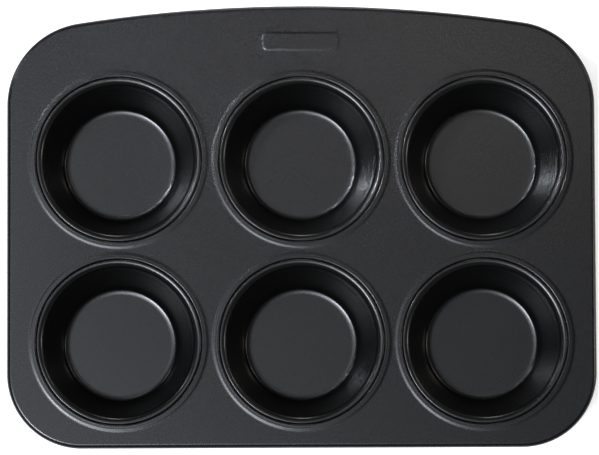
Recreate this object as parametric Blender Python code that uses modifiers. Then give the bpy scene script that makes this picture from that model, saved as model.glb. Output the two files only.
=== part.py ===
"""Six-cup muffin pan: a pressed steel plate with six drawn cups seamed into its holes.

Each cup hangs by its turned-down lip in a sunk seat of the plate, and a bead rolled into its wall
locks it from below. The plate's edge is curled round a steel wire. Metres, +Z up: the pan stands
on its cup floors, the origin lies under the middle of the plate, and +Y points to the bowed edge.
"""
import math

import bmesh
import bpy
from mathutils import Vector

MM = 0.001

# Sheet, wire and the clearance that pieces in contact keep
PLATE_SHEET = 0.6 * MM
CUP_SHEET = 0.6 * MM
WIRE_DIAMETER = 2.0 * MM
WIRE_JOINT = 0.5 * MM
FIT_GAP = 0.3 * MM

# Cup: inside sizes, and the lip that turns over and down; bends are inside radii of the sheet
CUP_DEPTH = 30.0 * MM
FLOOR_RADIUS = 23.4 * MM
FLOOR_FILLET = 2.2 * MM
MOUTH_RADIUS = 32.9 * MM
MOUTH_BEND = 2.0 * MM
LIP_FLAT = 0.15 * MM
LIP_BEND = 0.2 * MM
LIP_DEPTH = 2.1 * MM

# Bead rolled into the cup's wall under the plate's seat
BEAD_REACH = 0.9 * MM
BEAD_HEIGHT = 1.6 * MM
BEAD_DROP = 0.1 * MM

# Shoulder pressed into the plate round each cup
SEAT_BEND = 0.2 * MM
LAND_WIDTH = 0.75 * MM
LAND_RISE = 0.18 * MM
FLANK_WIDTH = 1.8 * MM

# Plate: flat strips left between the shoulders and out to its edges, and its round corners
CUP_SPACING = 0.5 * MM
SIDE_STRIP = 9.2 * MM
FRONT_STRIP = 6.8 * MM
BACK_STRIP = 28.1 * MM
FRONT_CORNER_RADIUS = 33.0 * MM
BACK_CORNER_RADIUS = 37.0 * MM
BACK_EDGE_RADIUS = 650.0 * MM
CURL_SWEEP = math.radians(270)

# Blank panel embossed in the back strip
PANEL_LENGTH = 35.0 * MM
PANEL_WIDTH = 8.8 * MM
PANEL_CORNER = 2.8 * MM
PANEL_RISE = 0.18 * MM
PANEL_SLOPE = 0.5 * MM

# Rows and columns of cups, from the front left
ROWS = ("front", "back")
COLUMNS = ("left", "middle", "right")

# Fineness of the round forms
TURN_STEPS = 28
FILLET_STEPS = 2
BEND_STEPS = 2
CORNER_STEPS = 8
BACK_STEPS = 5
CURL_STEPS = 9
PANEL_STEPS = 3
WIRE_RESOLUTION = 2
MERGE_DISTANCE = 0.01 * MM
SHARP_ANGLE = math.radians(40)

# Heights
LIP_TOP = CUP_SHEET + CUP_DEPTH
PLATE_TOP = LIP_TOP - LAND_RISE
SEAT_TOP = LIP_TOP - LIP_DEPTH - FIT_GAP
SEAT_UNDERSIDE = SEAT_TOP - PLATE_SHEET

# Radii from a cup's axis outwards; a round is the outside radius of a bend
MOUTH_ROUND = MOUTH_BEND + CUP_SHEET
LIP_ROUND = LIP_BEND + CUP_SHEET
LIP_RADIUS = MOUTH_RADIUS + MOUTH_ROUND + LIP_FLAT + LIP_ROUND
SEAT_RADIUS = LIP_RADIUS + FIT_GAP
SEAT_ROUND = SEAT_BEND + PLATE_SHEET
LAND_RADIUS = SEAT_RADIUS + SEAT_ROUND + LAND_WIDTH
SHOULDER_RADIUS = LAND_RADIUS + FLANK_WIDTH

# Plate and its rolled edge
CUP_PITCH = 2 * SHOULDER_RADIUS + CUP_SPACING
CURL_RADIUS = WIRE_DIAMETER / 2 + FIT_GAP + PLATE_SHEET
HALF_WIDTH = (len(COLUMNS) - 1) * CUP_PITCH / 2 + SHOULDER_RADIUS + SIDE_STRIP
LENGTH = (len(ROWS) - 1) * CUP_PITCH + 2 * SHOULDER_RADIUS + FRONT_STRIP + BACK_STRIP
FRONT_EDGE = -LENGTH / 2
BACK_EDGE = LENGTH / 2
FRONT_ROW = FRONT_EDGE + FRONT_STRIP + SHOULDER_RADIUS
PANEL_CENTRE = BACK_EDGE - CURL_RADIUS - BACK_STRIP / 2

QUARTER = math.pi / 2


def clear_scene():
    """Remove every object that the file holds."""
    for item in list(bpy.data.objects):
        bpy.data.objects.remove(item, do_unlink=True)


def arc(centre, radius, start, end, steps):
    """Points of an arc, both ends among them; angles are in radians."""
    angles = (start + (end - start) * step / steps for step in range(steps + 1))
    return [(centre[0] + radius * math.cos(angle), centre[1] + radius * math.sin(angle)) for angle in angles]


def wall_taper():
    """How far the cup's wall leans from upright, tangent to the floor fillet and to the mouth."""
    across = MOUTH_RADIUS + MOUTH_ROUND - FLOOR_RADIUS
    up = CUP_DEPTH - MOUTH_ROUND - FLOOR_FILLET
    return math.acos((FLOOR_FILLET + MOUTH_ROUND) / math.hypot(across, up)) - math.atan2(up, across)


def wall_radius(height):
    """The inside radius of the cup's straight wall at a height."""
    taper = wall_taper()
    foot_radius = FLOOR_RADIUS + FLOOR_FILLET * math.cos(taper)
    foot_height = CUP_SHEET + FLOOR_FILLET * (1 - math.sin(taper))
    return foot_radius + (height - foot_height) * math.tan(taper)


def cup_profile():
    """The inside skin of a cup: from the middle of its floor, up its wall, over and down its lip."""
    taper = wall_taper()
    bead_top = SEAT_UNDERSIDE - FIT_GAP - BEAD_DROP
    bead_middle = bead_top - BEAD_HEIGHT / 2
    bead_bottom = bead_top - BEAD_HEIGHT
    fillet_centre = (FLOOR_RADIUS, CUP_SHEET + FLOOR_FILLET)
    mouth_centre = (MOUTH_RADIUS + MOUTH_ROUND, LIP_TOP - MOUTH_ROUND)
    lip_centre = (LIP_RADIUS - LIP_ROUND, LIP_TOP - LIP_ROUND)
    return [
        (0.0, CUP_SHEET),
        *arc(fillet_centre, FLOOR_FILLET, -QUARTER, -taper, FILLET_STEPS),
        (wall_radius(bead_bottom), bead_bottom),
        (wall_radius(bead_middle) + BEAD_REACH, bead_middle),
        (wall_radius(bead_top), bead_top),
        *arc(mouth_centre, MOUTH_ROUND, math.pi - taper, QUARTER, BEND_STEPS),
        *arc(lip_centre, LIP_ROUND, QUARTER, 0.0, BEND_STEPS),
        (LIP_RADIUS, LIP_TOP - LIP_DEPTH),
    ]


def shoulder_profile():
    """The top skin of the plate round a cup, from the flat inwards to the edge of the hole."""
    bend_centre = (SEAT_RADIUS + SEAT_ROUND, LIP_TOP - SEAT_ROUND)
    hole_radius = wall_radius(SEAT_TOP) + (CUP_SHEET + FIT_GAP) / math.cos(wall_taper())
    return [
        (SHOULDER_RADIUS, PLATE_TOP),
        (LAND_RADIUS, LIP_TOP),
        *arc(bend_centre, SEAT_ROUND, QUARTER, math.pi, BEND_STEPS),
        (SEAT_RADIUS, SEAT_TOP),
        (hole_radius, SEAT_TOP),
    ]


def outline(inset):
    """The plate's outline at a distance inside its edge, anticlockwise from the right front corner."""
    front = (HALF_WIDTH - FRONT_CORNER_RADIUS, FRONT_EDGE + FRONT_CORNER_RADIUS)
    bow = (0.0, BACK_EDGE - BACK_EDGE_RADIUS)
    back_x = HALF_WIDTH - BACK_CORNER_RADIUS
    back = (back_x, bow[1] + math.sqrt((BACK_EDGE_RADIUS - BACK_CORNER_RADIUS) ** 2 - back_x**2))
    meeting = math.atan2(back[1] - bow[1], back_x)
    right = [
        *arc(front, FRONT_CORNER_RADIUS - inset, -QUARTER, 0.0, CORNER_STEPS),
        *arc(back, BACK_CORNER_RADIUS - inset, 0.0, meeting, CORNER_STEPS),
        *arc(bow, BACK_EDGE_RADIUS - inset, meeting, QUARTER, BACK_STEPS)[1:],
    ]
    return right + [(-x, y) for x, y in reversed(right[:-1])]


def panel_outline(inset):
    """The blank panel's rounded rectangle, at a distance inside its foot."""
    reach_x = PANEL_LENGTH / 2 - PANEL_CORNER
    reach_y = PANEL_WIDTH / 2 - PANEL_CORNER
    points = []
    for corner, (side_x, side_y) in enumerate(((1, 1), (-1, 1), (-1, -1), (1, -1))):
        centre = (side_x * reach_x, PANEL_CENTRE + side_y * reach_y)
        points += arc(centre, PANEL_CORNER - inset, corner * QUARTER, (corner + 1) * QUARTER, PANEL_STEPS)
    return points


def cup_places():
    """The name of each cup and the place of its axis."""
    places = {}
    for row, row_name in enumerate(ROWS):
        for column, column_name in enumerate(COLUMNS):
            x = (column - (len(COLUMNS) - 1) / 2) * CUP_PITCH
            places[f"cup_{row_name}_{column_name}"] = Vector((x, FRONT_ROW + row * CUP_PITCH, 0.0))
    return places


def add_loop(bm, points, height):
    """Draw a closed loop of edges through flat points at a height."""
    corners = [bm.verts.new((x, y, height)) for x, y in points]
    return [bm.edges.new((corners[i - 1], corners[i])) for i in range(len(corners))]


def draw_out(bm, edges, before, after, height):
    """Extrude a loop of edges, taking each corner from its point before to its point after."""
    made = bmesh.ops.extrude_edge_only(bm, edges=edges)["geom"]
    corners = {item for item in made if isinstance(item, bmesh.types.BMVert)}
    for corner in corners:
        nearest = min(range(len(before)), key=lambda i: math.dist(before[i], corner.co.xy))
        corner.co = (*after[nearest], height)
    return [item for item in made if isinstance(item, bmesh.types.BMEdge) and corners.issuperset(item.verts)]


def roll_edge(bm):
    """Curl the plate's edge outwards, down and back under; the loop it starts from is returned."""
    before = outline(CURL_RADIUS)
    start = add_loop(bm, before, PLATE_TOP)
    edges = start
    for step in range(1, CURL_STEPS + 1):
        turn = CURL_SWEEP * step / CURL_STEPS
        after = outline(CURL_RADIUS * (1 - math.sin(turn)))
        edges = draw_out(bm, edges, before, after, PLATE_TOP - CURL_RADIUS * (1 - math.cos(turn)))
        before = after
    return start


def press_shoulder(bm, place):
    """Turn the shoulder and the seat of one cup; the circle round them is returned."""
    corners = [bm.verts.new(place + Vector((radius, 0.0, height))) for radius, height in shoulder_profile()]
    edges = [bm.edges.new(pair) for pair in zip(corners, corners[1:])]
    turn = {"cent": place, "axis": (0, 0, 1), "angle": 2 * math.pi, "steps": TURN_STEPS}
    bmesh.ops.spin(bm, geom=corners + edges, use_merge=True, **turn)

    def on_circle(vert):
        return abs((vert.co.xy - place.xy).length - SHOULDER_RADIUS) < MERGE_DISTANCE

    return [edge for edge in bm.edges if edge.is_boundary and all(map(on_circle, edge.verts))]


def emboss_panel(bm):
    """Raise the blank panel; the loop round its foot is returned."""
    before = panel_outline(0.0)
    foot = add_loop(bm, before, PLATE_TOP)
    top = draw_out(bm, foot, before, panel_outline(PANEL_SLOPE), PLATE_TOP + PANEL_RISE)
    bmesh.ops.triangle_fill(bm, edges=top, use_beauty=True)
    return foot


def coat(item, name, colour, roughness, metallic):
    """Give an object its finish."""
    material = bpy.data.materials.new(name)
    material.use_nodes = True
    shader = material.node_tree.nodes["Principled BSDF"]
    shader.inputs["Base Color"].default_value = (*colour, 1.0)
    shader.inputs["Roughness"].default_value = roughness
    shader.inputs["Metallic"].default_value = metallic
    item.data.materials.append(material)


def add_sheet(item, thickness):
    """Thicken an open skin behind its visible side."""
    sheet = item.modifiers.new("sheet", "SOLIDIFY")
    sheet.thickness = thickness
    sheet.offset = -1.0
    sheet.use_even_offset = True


def make_plate(collection):
    """Press the plate: a flat web with six seats, a blank panel and a curled edge."""
    bm = bmesh.new()
    web = roll_edge(bm) + emboss_panel(bm)
    for place in cup_places().values():
        web += press_shoulder(bm, place)
    flat = bmesh.ops.triangle_fill(bm, edges=web, use_beauty=True)["geom"]
    bmesh.ops.recalc_face_normals(bm, faces=bm.faces)
    if any(item.normal.z < 0 for item in flat if isinstance(item, bmesh.types.BMFace)):
        bmesh.ops.reverse_faces(bm, faces=bm.faces)

    mesh = bpy.data.meshes.new("top_plate")
    bm.to_mesh(mesh)
    bm.free()
    mesh.shade_smooth()
    mesh.set_sharp_from_angle(angle=SHARP_ANGLE)
    plate = bpy.data.objects.new("top_plate", mesh)
    collection.objects.link(plate)
    add_sheet(plate, PLATE_SHEET)
    coat(plate, "plate_nonstick_coating", (0.042, 0.043, 0.046), 0.42, 0.0)


def make_wire(collection):
    """Bend the wire inside the curl; its ends meet in the middle of the front edge."""
    right, left = (WIRE_JOINT / 2, FRONT_EDGE + CURL_RADIUS), (-WIRE_JOINT / 2, FRONT_EDGE + CURL_RADIUS)
    points = [right, *outline(CURL_RADIUS), left]
    curve = bpy.data.curves.new("rim_wire", "CURVE")
    curve.dimensions = "3D"
    curve.bevel_depth = WIRE_DIAMETER / 2
    curve.bevel_resolution = WIRE_RESOLUTION
    curve.use_fill_caps = True
    spline = curve.splines.new("POLY")
    spline.points.add(len(points) - 1)
    for point, (x, y) in zip(spline.points, points):
        point.co = (x, y, PLATE_TOP - CURL_RADIUS, 1.0)
    wire = bpy.data.objects.new("rim_wire", curve)
    collection.objects.link(wire)
    coat(wire, "wire_drawn_steel", (0.36, 0.36, 0.37), 0.35, 1.0)


def make_cups(collection):
    """Draw the cups: one turned skin, with a separate cup hung in each seat."""
    profile = cup_profile()
    mesh = bpy.data.meshes.new("cup")
    mesh.from_pydata(
        [(radius, 0.0, height) for radius, height in profile],
        [(i, i + 1) for i in range(len(profile) - 1)],
        [],
    )
    for name, place in cup_places().items():
        cup = bpy.data.objects.new(name, mesh)
        cup.location = place
        collection.objects.link(cup)
        turn = cup.modifiers.new("turn", "SCREW")
        turn.axis = "Z"
        turn.angle = 2 * math.pi
        turn.steps = TURN_STEPS
        turn.render_steps = TURN_STEPS
        turn.use_merge_vertices = True
        turn.merge_threshold = MERGE_DISTANCE
        turn.use_smooth_shade = True
        add_sheet(cup, CUP_SHEET)
    coat(cup, "cup_nonstick_coating", (0.040, 0.041, 0.042), 0.38, 0.0)


def main():
    """Model the pan's plate, its wire and its cups in one collection."""
    clear_scene()
    collection = bpy.data.collections.new("muffin_pan")
    bpy.context.scene.collection.children.link(collection)
    make_plate(collection)
    make_wire(collection)
    make_cups(collection)


main()
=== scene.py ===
"""The looks of a six-cup muffin pan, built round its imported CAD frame.

The pan is a pressed steel plate with six drawn steel cups seamed into its holes, and its edge is
rolled round a steel wire. The plate and the cups are drawn as sections of the sheet's visible side,
swept round the outline or a cup's axis, and then given the sheet's thickness. The wire is a round
section swept along the edge.

Metres, +Z up. The pan's lengths are written in millimetres and turned to metres by MM, and those of
the lamps and the floor are in metres. Azimuths run anticlockwise from +X.
"""
import logging
import math
from dataclasses import dataclass, field
from enum import Enum
from typing import Callable, Iterable, Sequence

import bmesh
import bpy
from mathutils import Matrix, Vector


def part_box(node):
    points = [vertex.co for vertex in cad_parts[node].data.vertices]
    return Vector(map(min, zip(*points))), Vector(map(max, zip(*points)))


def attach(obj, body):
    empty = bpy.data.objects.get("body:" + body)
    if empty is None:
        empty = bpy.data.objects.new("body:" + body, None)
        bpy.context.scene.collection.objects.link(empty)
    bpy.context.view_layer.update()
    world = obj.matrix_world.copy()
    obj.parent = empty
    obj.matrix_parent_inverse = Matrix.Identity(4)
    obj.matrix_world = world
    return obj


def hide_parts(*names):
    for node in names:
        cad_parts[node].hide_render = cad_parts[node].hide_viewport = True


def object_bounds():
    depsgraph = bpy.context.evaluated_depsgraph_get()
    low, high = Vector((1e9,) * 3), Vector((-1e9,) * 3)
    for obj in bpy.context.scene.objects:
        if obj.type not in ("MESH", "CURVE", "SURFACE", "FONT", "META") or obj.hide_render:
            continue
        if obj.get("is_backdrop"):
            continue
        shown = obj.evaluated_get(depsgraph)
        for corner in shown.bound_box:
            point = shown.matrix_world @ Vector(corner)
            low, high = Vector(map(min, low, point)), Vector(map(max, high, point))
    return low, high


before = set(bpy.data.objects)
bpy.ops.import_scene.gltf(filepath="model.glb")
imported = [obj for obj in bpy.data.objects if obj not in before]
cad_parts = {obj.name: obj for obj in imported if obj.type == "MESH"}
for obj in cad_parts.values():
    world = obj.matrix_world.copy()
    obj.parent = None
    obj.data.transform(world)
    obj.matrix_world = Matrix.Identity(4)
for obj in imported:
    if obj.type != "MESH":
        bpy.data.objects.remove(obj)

MM = 0.001
QUARTER = math.pi / 2
FULL_TURN = 2 * math.pi
BODY = "root"
MERGE_DISTANCE = 0.005 * MM
SHARP_ANGLE = math.radians(40)

# A narrow flat strip beside each round stretch keeps its shading off the flats
SUPPORT = 0.15 * MM

# The offset that makes Solidify put the whole sheet behind the skin
BEHIND = -1.0

COOL_WHITE = "#f1f6ff"
WARM_WHITE = "#fff9f0"

log = logging.getLogger("muffin_pan")


class Plane(Enum):
    """A plane that a route is drawn in: its direction ahead, and the one to the left of it."""

    PLAN = ((1.0, 0.0, 0.0), (0.0, 1.0, 0.0))
    CUP_SECTION = ((1.0, 0.0, 0.0), (0.0, 0.0, 1.0))
    EDGE_SECTION = ((0.0, -1.0, 0.0), (0.0, 0.0, 1.0))

    @property
    def normal(self) -> Vector:
        """The axis that a left turn goes round."""
        return Vector(self.value[0]).cross(Vector(self.value[1]))

    def direction(self, heading: float) -> Vector:
        """Find a direction in the plane.

        Args:
            heading: the angle to the left of straight ahead, in radians.

        Returns:
            A unit vector.
        """
        ahead, left = Vector(self.value[0]), Vector(self.value[1])
        return ahead * math.cos(heading) + left * math.sin(heading)


@dataclass(frozen=True)
class Run:
    """A straight stretch of a route."""

    length: float


@dataclass(frozen=True)
class Bend:
    """A round stretch of a route; a positive angle turns left."""

    radius: float
    angle: float
    steps: int


Route = Sequence[Run | Bend]


def held_run(length: float) -> list[Run]:
    """Split a straight stretch so that a narrow strip holds each of its ends.

    Args:
        length: the whole stretch.

    Returns:
        Three straight stretches.
    """
    return [Run(SUPPORT), Run(length - 2 * SUPPORT), Run(SUPPORT)]


def easy_step(run: float, rise: float, steps: int) -> list[Bend]:
    """Lead a route to a parallel line beside it, by two equal bends.

    Args:
        run: how far the step reaches along the route.
        rise: how far it moves the route to the left; negative is to the right.
        steps: the segments of each bend.

    Returns:
        The two bends.
    """
    angle = math.copysign(2 * math.atan2(abs(rise), run), rise)
    radius = run / 2 / abs(math.sin(angle))
    return [Bend(radius, angle, steps), Bend(radius, -angle, steps)]


def level_with(height: float) -> Callable[[Vector], bool]:
    """Make a test of whether a place lies at a height.

    Args:
        height: the height.

    Returns:
        The test.
    """
    return lambda place: abs(place.z - height) < MERGE_DISTANCE


def choose(keep: Callable[[Vector], bool]) -> None:
    """Select, in edit mode, the open edges whose ends all lie where asked.

    Args:
        keep: says of a place whether it belongs.
    """
    bpy.ops.mesh.select_mode(type="EDGE")
    bpy.ops.mesh.select_all(action="DESELECT")
    bm = bmesh.from_edit_mesh(bpy.context.object.data)
    for edge in bm.edges:
        if edge.is_boundary and all(keep(vert.co) for vert in edge.verts):
            edge.select = True
    bm.select_flush_mode()
    bmesh.update_edit_mesh(bpy.context.object.data)


def start_point(name: str, place: Vector) -> bpy.types.Object:
    """Put down one vertex to draw from, and stay in edit mode.

    Args:
        name: the new object's name.
        place: where the vertex lies.

    Returns:
        The new object, with its origin at the world's.
    """
    bpy.ops.object.select_all(action="DESELECT")
    # The plane is merged to its middle, so its size makes no difference
    bpy.ops.mesh.primitive_plane_add(size=MM, location=place)
    bpy.ops.object.transform_apply(location=True)
    item = bpy.context.object
    item.name = item.data.name = name
    bpy.ops.object.mode_set(mode="EDIT")
    bpy.ops.mesh.merge(type="CENTER")
    return item


def follow(route: Route, place: Vector, plane: Plane) -> None:
    """Extrude and spin what is selected along a route, from a first heading straight ahead.

    Args:
        route: the stretches to follow.
        place: the point that the route is drawn from; the bends' centres are worked out from it.
        plane: the plane that the route lies in.
    """
    place = place.copy()
    heading = 0.0
    for stretch in route:
        if isinstance(stretch, Run):
            move = plane.direction(heading) * stretch.length
            bpy.ops.mesh.extrude_region_move(TRANSFORM_OT_translate={"value": move})
            place += move
            continue
        side = plane.direction(heading + math.copysign(QUARTER, stretch.angle))
        centre = place + side * stretch.radius
        # The operator counts its angle the other way round its axis
        bpy.ops.mesh.spin(steps=stretch.steps, angle=-stretch.angle, center=centre, axis=plane.normal)
        place = centre + Matrix.Rotation(stretch.angle, 3, plane.normal) @ (place - centre)
        heading += stretch.angle


def close_skin() -> None:
    """Merge the seams and poles of the open skin in edit mode, and turn its normals one way."""
    bpy.ops.mesh.select_all(action="SELECT")
    bpy.ops.mesh.remove_doubles(threshold=MERGE_DISTANCE)
    bpy.ops.mesh.normals_make_consistent(inside=False)


def sweep(route: Route, place: Vector) -> None:
    """Sweep the section drawn in edit mode along a route in plan, and close the skin.

    Args:
        route: the stretches to follow; a single bend of no radius turns the section about the point.
        place: the point that the route is drawn from.
    """
    bpy.ops.mesh.select_all(action="SELECT")
    follow(route, place, Plane.PLAN)
    close_skin()


def face_up(item: bpy.types.Object, height: float) -> None:
    """Turn a skin over if its flat at a height looks down.

    Args:
        item: the object in edit mode.
        height: the height of a flat whose visible side is its top.
    """
    bm = bmesh.from_edit_mesh(item.data)
    level = level_with(height)
    flat = [face for face in bm.faces if all(level(vert.co) for vert in face.verts)]
    if sum(face.normal.z * face.calc_area() for face in flat) < 0:
        bpy.ops.mesh.select_all(action="SELECT")
        bpy.ops.mesh.flip_normals()


def thicken(item: bpy.types.Object, sheet: float) -> None:
    """Give an open skin its sheet behind the visible side, and shade it.

    Args:
        item: the skin's object, in object mode.
        sheet: the thickness of the sheet.
    """
    modifier = item.modifiers.new("sheet", "SOLIDIFY")
    modifier.thickness = sheet
    modifier.offset = BEHIND
    modifier.use_even_offset = True
    bpy.ops.object.modifier_apply(modifier=modifier.name)
    bpy.ops.object.shade_smooth_by_angle(angle=SHARP_ANGLE)


def copy_to(item: bpy.types.Object, name: str, move: Vector) -> bpy.types.Object:
    """Copy a finished piece to another place, with a mesh of its own.

    Args:
        item: the piece to copy.
        name: the copy's name.
        move: how far the copy lies from the piece.

    Returns:
        The copy, with its origin at the world's.
    """
    bpy.ops.object.select_all(action="DESELECT")
    item.select_set(True)
    bpy.context.view_layer.objects.active = item
    bpy.ops.object.duplicate()
    bpy.ops.transform.translate(value=move)
    bpy.ops.object.transform_apply(location=True)
    copy = bpy.context.object
    copy.name = copy.data.name = name
    return copy


def hand_over(item: bpy.types.Object, node: str, finish: bpy.types.Material) -> None:
    """Coat a finished piece and let it stand for its CAD node.

    Args:
        item: the piece.
        node: the CAD node that it replaces.
        finish: the piece's material.
    """
    item.data.materials.clear()
    item.data.materials.append(finish)
    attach(item, BODY)
    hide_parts(node)
    triangles = sum(len(face.vertices) - 2 for face in item.data.polygons)
    log.info("%s stands for %s, %d triangles", item.name, node, triangles)


def linear_colour(hex_colour: str) -> tuple[float, float, float, float]:
    """Turn an sRGB colour to the linear values that the shaders take.

    Args:
        hex_colour: six hex digits after a hash.

    Returns:
        Red, green, blue and an alpha of 1.
    """
    channels = [int(hex_colour[i : i + 2], 16) / 255 for i in (1, 3, 5)]
    # The standard sRGB curve: a straight foot, then a power
    linear = [c / 12.92 if c <= 0.04045 else ((c + 0.055) / 1.055) ** 2.4 for c in channels]
    return (*linear, 1.0)


def add_node(
    tree: bpy.types.NodeTree,
    kind: str,
    settings: dict[str, object] | None = None,
    links: dict[str, bpy.types.NodeSocket] | None = None,
) -> bpy.types.Node:
    """Add a node, with its settings and the sockets that feed it.

    Args:
        tree: the tree that gets the node.
        kind: the node's type name.
        settings: values by the name of an input, or else of a property.
        links: the sockets that feed it, by the name of its input.

    Returns:
        The node.
    """
    node = tree.nodes.new(kind)
    for name, value in (settings or {}).items():
        if name in node.inputs:
            node.inputs[name].default_value = value
        else:
            setattr(node, name, value)
    for name, source in (links or {}).items():
        tree.links.new(source, node.inputs[name])
    return node


def new_material(name: str) -> tuple[bpy.types.Material, bpy.types.NodeTree]:
    """Make a material with an empty node tree.

    Args:
        name: the material's name.

    Returns:
        The material and its tree.
    """
    material = bpy.data.materials.new(name)
    material.use_nodes = True
    material.node_tree.nodes.clear()
    return material, material.node_tree


@dataclass(frozen=True)
class NonstickCoating:
    """Fluoropolymer non-stick coating, sprayed on steel sheet and baked.

    The resin is pigmented nearly black, so what the eye sees is its satin gloss, with the thin
    bright lines of the clear resin that rises to the top as it bakes. Spraying leaves a faint
    orange peel, and the pigment a fine grain that breaks the gloss up. The real grain is finer than
    a pixel, so it is drawn about a pixel wide.
    """

    name: str
    colour: str
    roughness: float
    roughness_spread: float = 0.03
    ior: float = 1.43
    skin: float = 0.2
    skin_roughness: float = 0.14
    peel_size: float = 1.6 * MM
    peel_detail: float = 2.0
    peel_harshness: float = 0.5
    peel_height: float = 0.0005 * MM
    grain_size: float = 0.45 * MM
    grain_detail: float = 3.0
    grain_harshness: float = 0.6
    grain_height: float = 0.0002 * MM
    grain_low: float = 0.3
    grain_high: float = 0.7

    def mix(self) -> bpy.types.Material:
        """Build the coating's material."""
        material, tree = new_material(self.name)
        place = add_node(tree, "ShaderNodeTexCoord").outputs["Object"]
        peel = add_node(
            tree,
            "ShaderNodeTexNoise",
            {
                "Scale": 1 / self.peel_size,
                "Detail": self.peel_detail,
                "Roughness": self.peel_harshness,
            },
            {"Vector": place},
        )
        grain = add_node(
            tree,
            "ShaderNodeTexNoise",
            {
                "Scale": 1 / self.grain_size,
                "Detail": self.grain_detail,
                "Roughness": self.grain_harshness,
            },
            {"Vector": place},
        )
        gloss = add_node(
            tree,
            "ShaderNodeMapRange",
            {
                "From Min": self.grain_low,
                "From Max": self.grain_high,
                "To Min": self.roughness - self.roughness_spread,
                "To Max": self.roughness + self.roughness_spread,
            },
            {"Value": grain.outputs["Fac"]},
        )
        waves = add_node(
            tree, "ShaderNodeBump", {"Distance": self.peel_height}, {"Height": peel.outputs["Fac"]}
        )
        relief = add_node(
            tree,
            "ShaderNodeBump",
            {"Distance": self.grain_height},
            {"Height": grain.outputs["Fac"], "Normal": waves.outputs["Normal"]},
        )
        shader = add_node(
            tree,
            "ShaderNodeBsdfPrincipled",
            {
                "Base Color": linear_colour(self.colour),
                "IOR": self.ior,
                "Coat Weight": self.skin,
                "Coat Roughness": self.skin_roughness,
            },
            {"Roughness": gloss.outputs["Result"], "Normal": relief.outputs["Normal"]},
        )
        add_node(tree, "ShaderNodeOutputMaterial", {}, {"Surface": shader.outputs["BSDF"]})
        return material


@dataclass(frozen=True)
class DrawnSteelWire:
    """Bare steel wire, drawn through a die, which leaves it bright with fine scratches.

    The curl hides the wire, so the scratches are drawn as an even grain, coarser than they are.
    """

    name: str = "wire_drawn_steel"
    colour: str = "#9c9c9d"
    roughness: float = 0.35
    scratch_size: float = 0.2 * MM
    scratch_detail: float = 2.0
    scratch_height: float = 0.002 * MM

    def mix(self) -> bpy.types.Material:
        """Build the wire's material."""
        material, tree = new_material(self.name)
        place = add_node(tree, "ShaderNodeTexCoord").outputs["Object"]
        scratches = add_node(
            tree,
            "ShaderNodeTexNoise",
            {"Scale": 1 / self.scratch_size, "Detail": self.scratch_detail},
            {"Vector": place},
        )
        relief = add_node(
            tree,
            "ShaderNodeBump",
            {"Distance": self.scratch_height},
            {"Height": scratches.outputs["Fac"]},
        )
        shader = add_node(
            tree,
            "ShaderNodeBsdfPrincipled",
            {"Base Color": linear_colour(self.colour), "Metallic": 1.0, "Roughness": self.roughness},
            {"Normal": relief.outputs["Normal"]},
        )
        add_node(tree, "ShaderNodeOutputMaterial", {}, {"Surface": shader.outputs["BSDF"]})
        return material


@dataclass(frozen=True)
class SeamlessPaper:
    """Matt white background paper, as a studio table is covered with.

    It is pressed from bleached pulp and has no gloss. Its fibres are too fine to show, so their
    relief is drawn far coarser. A glow that only the camera and reflections see keeps it white up
    to the pan's edge, with a trace of the shadow left. Its back is clear, so that the pan's
    underside can be seen.
    """

    name: str = "matt_white_paper"
    colour: str = "#fbfbfa"
    roughness: float = 1.0
    fibre_size: float = 4.0 * MM
    fibre_detail: float = 2.0
    fibre_height: float = 0.01 * MM
    glow: float = 0.62

    def mix(self) -> bpy.types.Material:
        """Build the paper's material."""
        material, tree = new_material(self.name)
        place = add_node(tree, "ShaderNodeTexCoord").outputs["Object"]
        fibres = add_node(
            tree,
            "ShaderNodeTexNoise",
            {"Scale": 1 / self.fibre_size, "Detail": self.fibre_detail},
            {"Vector": place},
        )
        relief = add_node(
            tree, "ShaderNodeBump", {"Distance": self.fibre_height}, {"Height": fibres.outputs["Fac"]}
        )
        rays = add_node(tree, "ShaderNodeLightPath").outputs
        kinds = {"X": rays["Is Camera Ray"], "Y": rays["Is Glossy Ray"], "Z": rays["Is Transmission Ray"]}
        any_kind = add_node(
            tree,
            "ShaderNodeVectorMath",
            {"operation": "LENGTH"},
            {"Vector": add_node(tree, "ShaderNodeCombineXYZ", {}, kinds).outputs["Vector"]},
        )
        glow = add_node(
            tree, "ShaderNodeMapRange", {"To Max": self.glow}, {"Value": any_kind.outputs["Value"]}
        )
        shader = add_node(
            tree,
            "ShaderNodeBsdfPrincipled",
            {
                "Base Color": linear_colour(self.colour),
                "Roughness": self.roughness,
                "Specular IOR Level": 0.0,
            },
            {"Normal": relief.outputs["Normal"], "Emission Strength": glow.outputs["Result"]},
        )
        back = add_node(tree, "ShaderNodeNewGeometry").outputs["Backfacing"]
        paper = add_node(tree, "ShaderNodeMixShader", {}, {"Fac": back})
        clear = add_node(tree, "ShaderNodeBsdfTransparent")
        # The mix has two shader inputs of one name, so they are told apart by their order
        tree.links.new(shader.outputs["BSDF"], paper.inputs[1])
        tree.links.new(clear.outputs["BSDF"], paper.inputs[2])
        add_node(tree, "ShaderNodeOutputMaterial", {}, {"Surface": paper.outputs["Shader"]})
        material.cycles.emission_sampling = "NONE"
        return material


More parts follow.
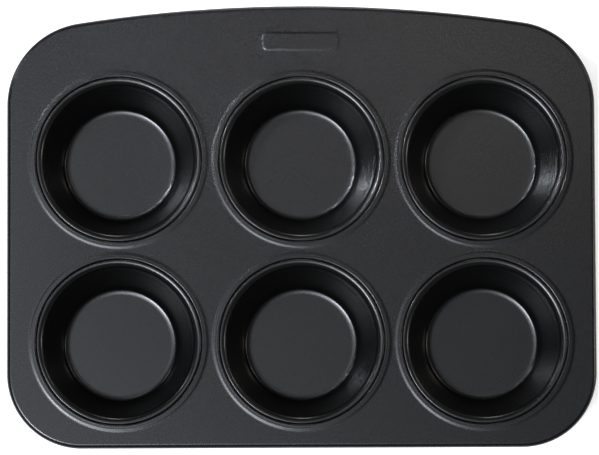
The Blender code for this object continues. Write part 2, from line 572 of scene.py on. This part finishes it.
@dataclass
class Cup:
    """One drawn steel cup: a flat floor, a leaning wall with a bead, a rolled mouth and a lip."""

    node: str
    low: Vector
    high: Vector
    sheet: float = 0.6 * MM
    floor_radius: float = 22.4 * MM
    floor_dish: float = 9.0 * MM
    dish_angle: float = math.radians(12)
    floor_fillet: float = 1.6 * MM
    mouth_round: float = 2.6 * MM
    lip_flat: float = 0.3 * MM
    lip_round: float = 0.65 * MM
    lip_drop: float = 2.1 * MM
    bead_reach: float = 0.04 * MM
    bead_height: float = 4.0 * MM
    bead_top: float = 27.2 * MM
    around: int = 128
    bend_steps: int = 8

    @classmethod
    def measured(cls, node: str) -> "Cup":
        """Take a cup's place from its CAD node.

        Args:
            node: the CAD node's name.

        Returns:
            The cup, with its lowest and highest corners.
        """
        return cls(node, *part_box(node))

    @property
    def foot(self) -> Vector:
        """The point under the middle of the cup, on the surface that the pan stands on."""
        middle = (self.low + self.high) / 2
        return Vector((middle.x, middle.y, self.low.z))

    @property
    def lip_radius(self) -> float:
        """The outer radius of the turned-down lip."""
        return (self.high.x - self.low.x) / 2

    @property
    def mouth_radius(self) -> float:
        """The radius at which the rounded mouth is level with the lip."""
        return self.lip_radius - self.lip_round - self.lip_flat

    @property
    def fillet_centre(self) -> Vector:
        """The centre of the fillet in the cup's section, after the floor's gently dished edge."""
        reach = self.floor_dish - self.floor_fillet
        across = self.floor_radius + reach * math.sin(self.dish_angle)
        up = self.low.z + self.sheet + self.floor_dish - reach * math.cos(self.dish_angle)
        return Vector((across, 0.0, up))

    def taper(self) -> float:
        """Find how far the wall leans from upright, tangent to the floor fillet and the mouth.

        Returns:
            The angle in radians.
        """
        fillet = self.fillet_centre
        across = self.mouth_radius - fillet.x
        up = self.high.z - self.mouth_round - fillet.z
        wrap = math.acos((self.floor_fillet + self.mouth_round) / math.hypot(across, up))
        return wrap - math.atan2(up, across)

    def section(self) -> Route:
        """Draw the inside skin from the middle of the floor to the end of the lip.

        Returns:
            The section's stretches, which start level and outwards.
        """
        taper = self.taper()
        upright = math.cos(taper)
        turn = QUARTER - taper
        foot = self.fillet_centre.z - self.floor_fillet * math.sin(taper)
        head = self.high.z - self.mouth_round * (1 - math.sin(taper))
        bead_foot = self.bead_top - self.bead_height
        bead = self.bead_height / 2 / upright
        return [
            *held_run(self.floor_radius),
            Bend(self.floor_dish, self.dish_angle, self.bend_steps),
            Bend(self.floor_fillet, turn - self.dish_angle, self.bend_steps),
            *held_run((bead_foot - foot) / upright),
            *easy_step(bead, -self.bead_reach, self.bend_steps // 2),
            *easy_step(bead, self.bead_reach, self.bend_steps // 2),
            *held_run((head - self.bead_top) / upright),
            Bend(self.mouth_round, -turn, self.bend_steps),
            Run(self.lip_flat),
            Bend(self.lip_round, -QUARTER, self.bend_steps),
            *held_run(self.lip_drop - self.lip_round),
        ]

    def draw(self, name: str) -> bpy.types.Object:
        """Turn the cup's skin about its axis and give it its sheet.

        Args:
            name: the piece's name.

        Returns:
            The finished piece.
        """
        floor = self.low.z + self.sheet
        middle = Vector((self.foot.x, self.foot.y, floor))
        item = start_point(name, middle)
        follow(self.section(), middle, Plane.CUP_SECTION)
        sweep([Bend(0.0, FULL_TURN, self.around)], middle)
        face_up(item, floor)
        bpy.ops.object.mode_set(mode="OBJECT")
        thicken(item, self.sheet)
        return item


@dataclass
class CupSet:
    """The six cups, drawn by one tool: one is modelled and the others are its copies."""

    cups: list[Cup]
    coating: NonstickCoating

    def build(self) -> None:
        """Draw the first cup, copy it into each seat and coat them all."""
        finish = self.coating.mix()
        first = self.cups[0]
        master = first.draw(f"drawn_{first.node}")
        pieces = [master]
        for cup in self.cups[1:]:
            pieces.append(copy_to(master, f"drawn_{cup.node}", cup.foot - first.foot))
        for cup, piece in zip(self.cups, pieces):
            hand_over(piece, cup.node, finish)


@dataclass
class Outline:
    """The plate's outline: straight front and sides, round corners and a bowed back edge."""

    half_width: float
    front: float
    back: float
    front_radius: float = 33.0 * MM
    back_radius: float = 37.0 * MM
    bow_radius: float = 650.0 * MM
    corner_steps: int = 28
    bow_steps: int = 20

    @classmethod
    def measured(cls, node: str) -> "Outline":
        """Take the outline's reach from the CAD plate.

        Args:
            node: the CAD node's name.

        Returns:
            The outline.
        """
        low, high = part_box(node)
        return cls(high.x, low.y, high.y)

    def route(self, gap: float = 0.0) -> Route:
        """Follow the outline anticlockwise, from the middle of the front edge back to it.

        Args:
            gap: the part of the front edge's middle that is left out.

        Returns:
            The outline's stretches.
        """
        across = self.half_width - self.back_radius
        reach = self.bow_radius - self.back_radius
        rise = math.sqrt(reach**2 - across**2)
        meeting = math.atan2(rise, across)
        side = self.back - self.bow_radius + rise - (self.front + self.front_radius)
        half_front = Run(self.half_width - self.front_radius - gap / 2)
        front_corner = Bend(self.front_radius, QUARTER, self.corner_steps)
        back_corner = Bend(self.back_radius, meeting, self.corner_steps)
        bow = Bend(self.bow_radius, 2 * (QUARTER - meeting), self.bow_steps)
        right = [half_front, front_corner, Run(side), back_corner]
        return [*right, bow, *reversed(right)]


@dataclass
class Shoulder:
    """The ring pressed up round a cup, and the sunk seat that the cup's lip hangs in."""

    seat_depth: float = 2.4 * MM
    seat_width: float = 2.75 * MM
    fit_gap: float = 0.1 * MM
    seat_round: float = 0.65 * MM
    land_width: float = 0.8 * MM
    land_fall: float = 0.025 * MM
    land_edge: float = 0.2 * MM
    land_rise: float = 0.17 * MM
    flank_width: float = 1.9 * MM
    around: int = 128
    bend_steps: int = 8

    def section(self) -> Route:
        """Draw the plate's top skin from the edge of the hole out to the flat.

        Returns:
            The section's stretches, which start level and outwards.
        """
        return [
            *held_run(self.seat_width),
            Bend(0.0, QUARTER, 1),
            *held_run(self.seat_depth - self.seat_round),
            Bend(self.seat_round, -QUARTER, self.bend_steps),
            *easy_step(self.land_width, -self.land_fall, self.bend_steps // 2),
            Run(self.land_edge),
            *easy_step(self.flank_width, self.land_fall - self.land_rise, self.bend_steps // 2),
            Run(SUPPORT),
        ]

    def press(self, cup: Cup, name: str) -> bpy.types.Object:
        """Turn the shoulder of one cup about the cup's axis.

        Args:
            cup: the cup that hangs in it.
            name: the new object's name.

        Returns:
            The open skin, in object mode.
        """
        radius = cup.lip_radius + self.fit_gap - self.seat_width
        axis = Vector((cup.foot.x, cup.foot.y, cup.high.z - self.seat_depth))
        hole = axis + Vector((radius, 0.0, 0.0))
        item = start_point(name, hole)
        follow(self.section(), hole, Plane.CUP_SECTION)
        sweep([Bend(0.0, FULL_TURN, self.around)], axis)
        bpy.ops.object.mode_set(mode="OBJECT")
        return item


@dataclass
class BlankPanel:
    """A plain raised panel with round corners in the middle of the back strip."""

    centre: Vector
    length: float = 35.0 * MM
    width: float = 8.8 * MM
    corner: float = 2.8 * MM
    rise: float = 0.14 * MM
    slope: float = 1.2 * MM
    corner_steps: int = 12
    slope_steps: int = 4

    def route(self) -> Route:
        """Follow the panel's foot anticlockwise, from the middle of its front side.

        Returns:
            The foot's stretches.
        """
        half_front = Run(self.length / 2 - self.corner)
        turn = Bend(self.corner, QUARTER, self.corner_steps)
        side = Run(self.width - 2 * self.corner)
        back = Run(self.length - 2 * self.corner)
        return [half_front, turn, side, turn, back, turn, side, turn, half_front]

    def emboss(self, name: str) -> bpy.types.Object:
        """Sweep the panel's slope round it and close its top.

        Args:
            name: the new object's name.

        Returns:
            The open skin, in object mode.
        """
        foot = self.centre - Vector((0.0, self.width / 2, 0.0))
        crest = foot + Vector((0.0, self.slope + SUPPORT, self.rise))
        item = start_point(name, crest)
        slope = [Run(SUPPORT), *easy_step(self.slope, -self.rise, self.slope_steps), Run(SUPPORT)]
        follow(slope, crest, Plane.EDGE_SECTION)
        sweep(self.route(), foot)
        choose(level_with(crest.z))
        bpy.ops.mesh.edge_face_add()
        bpy.ops.object.mode_set(mode="OBJECT")
        return item


@dataclass
class Plate:
    """The pressed plate: a flat web, six shoulders, a blank panel and an edge curled round a wire."""

    cups: list[Cup]
    outline: Outline
    coating: NonstickCoating
    node: str = "top_plate"
    shoulder: Shoulder = field(default_factory=Shoulder)
    sheet: float = 0.6 * MM
    curl_radius: float = 1.9 * MM
    curl_sweep: float = math.radians(270)
    curl_steps: int = 27
    back_strip: float = 28.1 * MM

    @property
    def web_height(self) -> float:
        """The height of the flat web's top."""
        return self.cups[0].high.z - self.shoulder.land_rise

    def roll_edge(self) -> bpy.types.Object:
        """Sweep the curl's section round the outline.

        Returns:
            The open skin, in object mode.
        """
        edge = Vector((0.0, self.outline.front, self.web_height))
        inside = edge + Vector((0.0, self.curl_radius + SUPPORT, 0.0))
        item = start_point("rolled_edge", inside)
        section = [Run(SUPPORT), Bend(self.curl_radius, -self.curl_sweep, self.curl_steps)]
        follow(section, inside, Plane.EDGE_SECTION)
        sweep(self.outline.route(), edge)
        bpy.ops.object.mode_set(mode="OBJECT")
        return item

    def press_shoulders(self) -> list[bpy.types.Object]:
        """Press one shoulder and copy it round each cup.

        Returns:
            The six open skins.
        """
        first = self.cups[0]
        master = self.shoulder.press(first, "shoulder")
        return [master] + [copy_to(master, "shoulder", cup.foot - first.foot) for cup in self.cups[1:]]

    def emboss_panel(self) -> bpy.types.Object:
        """Emboss the blank panel in the middle of the back strip.

        Returns:
            The open skin.
        """
        middle = self.outline.back - self.curl_radius - self.back_strip / 2
        return BlankPanel(Vector((0.0, middle, self.web_height))).emboss("blank_panel")

    def fill_web(self) -> None:
        """Fill the flat web between the curl, the shoulders and the panel, in edit mode."""
        choose(level_with(self.web_height))
        bpy.ops.mesh.fill(use_beauty=True)

    def build(self) -> None:
        """Press the plate from its parts, join them to one sheet and coat it."""
        plate = self.roll_edge()
        parts = [*self.press_shoulders(), self.emboss_panel()]
        bpy.ops.object.select_all(action="DESELECT")
        for part in (plate, *parts):
            part.select_set(True)
        bpy.context.view_layer.objects.active = plate
        bpy.ops.object.join()
        plate.name = plate.data.name = "pressed_plate"
        bpy.ops.object.mode_set(mode="EDIT")
        self.fill_web()
        close_skin()
        face_up(plate, self.web_height)
        bpy.ops.object.mode_set(mode="OBJECT")
        thicken(plate, self.sheet)
        hand_over(plate, self.node, self.coating.mix())


@dataclass
class RimWire:
    """The steel wire inside the rolled edge; its ends meet in the middle of the front."""

    outline: Outline
    finish: DrawnSteelWire
    node: str = "rim_wire"
    radius: float = 1.0 * MM
    joint: float = 0.5 * MM
    sides: int = 16

    def build(self) -> None:
        """Sweep the wire's round section along the edge, and close its ends."""
        low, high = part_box(self.node)
        start = Vector((self.joint / 2, self.outline.front, (low.z + high.z) / 2))
        inset = Vector((0.0, low.y + self.radius - self.outline.front, 0.0))
        bpy.ops.object.select_all(action="DESELECT")
        bpy.ops.mesh.primitive_circle_add(
            vertices=self.sides, radius=self.radius, location=start + inset, rotation=(0.0, QUARTER, 0.0)
        )
        bpy.ops.object.transform_apply(location=True, rotation=True)
        wire = bpy.context.object
        wire.name = wire.data.name = "edge_wire"
        bpy.ops.object.mode_set(mode="EDIT")
        bpy.ops.mesh.select_all(action="SELECT")
        follow(self.outline.route(self.joint), start, Plane.PLAN)
        choose(lambda place: abs(place.x) <= self.joint)
        bpy.ops.mesh.fill_holes(sides=self.sides)
        close_skin()
        bpy.ops.object.mode_set(mode="OBJECT")
        bpy.ops.object.shade_smooth_by_angle(angle=SHARP_ANGLE)
        hand_over(wire, self.node, self.finish.mix())


@dataclass(frozen=True)
class Softbox:
    """A round or oval soft light, aimed at the middle of the pan or at a point beside it.

    A grid may narrow its beam to a spread in degrees. The light that the grid holds back goes into
    the beam, so the radiance is that of the lamp with no grid.
    """

    name: str
    azimuth: float
    zenith: float
    distance: float
    width: float
    height: float
    radiance: float
    colour: str = "#ffffff"
    spread: float = 180.0
    aim: Vector = field(default_factory=Vector)

    def hang(self, target: Vector) -> None:
        """Hang the light and turn it to the pan.

        Args:
            target: the middle of the pan.
        """
        azimuth, zenith = math.radians(self.azimuth), math.radians(self.zenith)
        flat = Vector((math.cos(azimuth), math.sin(azimuth), 0.0))
        away = flat * math.sin(zenith) + Vector((0.0, 0.0, 1.0)) * math.cos(zenith)
        lamp = bpy.data.lights.new(self.name, "AREA")
        lamp.shape = "ELLIPSE"
        lamp.size, lamp.size_y = self.width, self.height
        area = math.pi * self.width * self.height / 4
        lamp.energy = self.radiance * math.pi * area
        lamp.color = linear_colour(self.colour)[:3]
        lamp.spread = math.radians(self.spread)
        item = bpy.data.objects.new(self.name, lamp)
        item.location = target + away * self.distance
        back = away * self.distance - self.aim
        item.rotation_euler = back.to_track_quat("Z", "Y").to_euler()
        bpy.context.scene.collection.objects.link(item)


@dataclass
class Studio:
    """The camera, the lamps, the room and the paper that the pan stands on."""

    target: Vector
    camera_place: Vector = field(default_factory=lambda: Vector((-16.5, -148.2, 2000.0)) * MM)
    camera_turn: tuple[float, float, float] = (4.284, -0.437, -0.233)
    lens: float = 268.94
    sensor: float = 36.0
    nearest: float = 0.1
    farthest: float = 100.0
    floor_size: float = 60.0
    floor_cells: int = 8
    floor_gap: float = 0.05 * MM
    wall_radiance: float = 0.2
    ceiling_radiance: float = 0.05
    # Where the walls end and where the ceiling starts, as heights on a sphere of radius 1
    wall_top: float = 0.35
    ceiling_edge: float = 0.7
    # The point that the gridded lamp is aimed at, from the middle of the pan
    back_row: Vector = field(default_factory=lambda: Vector((30.0, 90.0, 0.0)) * MM)

    def place_camera(self) -> None:
        """Set up a long lens nearly straight above the pan, a little to its front."""
        data = bpy.data.cameras.new("camera")
        data.lens = self.lens
        data.sensor_width = self.sensor
        data.clip_start, data.clip_end = self.nearest, self.farthest
        camera = bpy.data.objects.new("camera", data)
        camera.location = self.camera_place
        camera.rotation_euler = [math.radians(angle) for angle in self.camera_turn]
        bpy.context.scene.collection.objects.link(camera)
        bpy.context.scene.camera = camera

    def hang_lamps(self) -> None:
        """Hang the soft lights: a wide key, a small gridded lamp on the back row, and dim ones around."""
        # Azimuth and zenith in degrees, then distance, width and height in metres, and radiance
        for lamp in (
            Softbox("key", 217.0, 21.0, 4.5, 1.10, 0.71, 66.0, COOL_WHITE),
            Softbox("near_key", 240.0, 11.0, 4.5, 0.63, 0.63, 16.0, COOL_WHITE),
            Softbox(
                "left_grid", 144.3, 29.9, 0.866, 0.06, 0.06, 8.5, COOL_WHITE, spread=21.0, aim=self.back_row
            ),
            Softbox("left_low", 150.0, 62.0, 1.5, 0.32, 0.32, 10.0, COOL_WHITE),
            Softbox("left_high", 120.0, 21.0, 2.6, 0.41, 0.41, 3.4, COOL_WHITE),
            Softbox("left_top", 150.0, 11.0, 2.6, 0.36, 0.36, 3.2, COOL_WHITE),
            Softbox("right_side", 30.0, 47.0, 1.5, 0.26, 0.26, 7.0, WARM_WHITE),
            Softbox("right_low", 0.0, 62.0, 1.5, 0.32, 0.32, 9.5, WARM_WHITE),
            Softbox("right_top", 60.0, 11.0, 2.6, 0.36, 0.36, 2.0, WARM_WHITE),
            Softbox("back_low", 90.0, 77.0, 1.5, 0.37, 0.37, 7.5),
        ):
            lamp.hang(self.target)

    def paint_room(self) -> None:
        """Give the world a dim room whose walls are paler than its ceiling."""
        world = bpy.data.worlds.new("room")
        bpy.context.scene.world = world
        world.use_nodes = True
        tree = world.node_tree
        tree.nodes.clear()
        place = add_node(tree, "ShaderNodeTexCoord").outputs["Generated"]
        height = add_node(tree, "ShaderNodeSeparateXYZ", {}, {"Vector": place}).outputs["Z"]
        level = add_node(
            tree,
            "ShaderNodeMapRange",
            {
                "From Min": self.wall_top,
                "From Max": self.ceiling_edge,
                "To Min": self.wall_radiance,
                "To Max": self.ceiling_radiance,
            },
            {"Value": height},
        )
        glow = add_node(tree, "ShaderNodeBackground", {}, {"Strength": level.outputs["Result"]})
        add_node(tree, "ShaderNodeOutputWorld", {}, {"Surface": glow.outputs["Background"]})

    def lay_floor(self) -> None:
        """Lay the paper a hair under the pan, out past every view of it."""
        bpy.ops.object.select_all(action="DESELECT")
        bpy.ops.mesh.primitive_grid_add(
            x_subdivisions=self.floor_cells,
            y_subdivisions=self.floor_cells,
            size=self.floor_size,
            location=(0.0, 0.0, -self.floor_gap),
        )
        floor = bpy.context.object
        floor.name = floor.data.name = "paper_floor"
        floor.data.materials.append(SeamlessPaper().mix())
        floor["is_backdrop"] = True

    def build(self) -> None:
        """Set the whole studio up."""
        self.place_camera()
        self.hang_lamps()
        self.paint_room()
        self.lay_floor()
        bpy.context.scene.view_settings.view_transform = "Standard"
        log.info("studio: camera, lamps, room and floor are in place")


def cup_names() -> Iterable[str]:
    """Name the cups as the CAD does, from the front left to the back right."""
    return (f"cup_{row}_{column}" for row in ("front", "back") for column in ("left", "middle", "right"))


def main() -> None:
    """Build the pan's pieces in order, then the studio round them."""
    logging.basicConfig(level=logging.INFO, format="%(name)s: %(message)s")
    cad_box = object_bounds()
    cups = [Cup.measured(name) for name in cup_names()]
    outline = Outline.measured("top_plate")
    cup_coating = NonstickCoating("cup_nonstick_coating", colour="#0b0b0b", roughness=0.29)
    CupSet(cups, cup_coating).build()
    plate_coating = NonstickCoating("plate_nonstick_coating", colour="#0c0c0d", roughness=0.28)
    Plate(cups, outline, plate_coating).build()
    RimWire(outline, DrawnSteelWire()).build()
    low, high = cad_box
    Studio(Vector(((low.x + high.x) / 2, (low.y + high.y) / 2, high.z))).build()


if __name__ == "__main__":
    main()
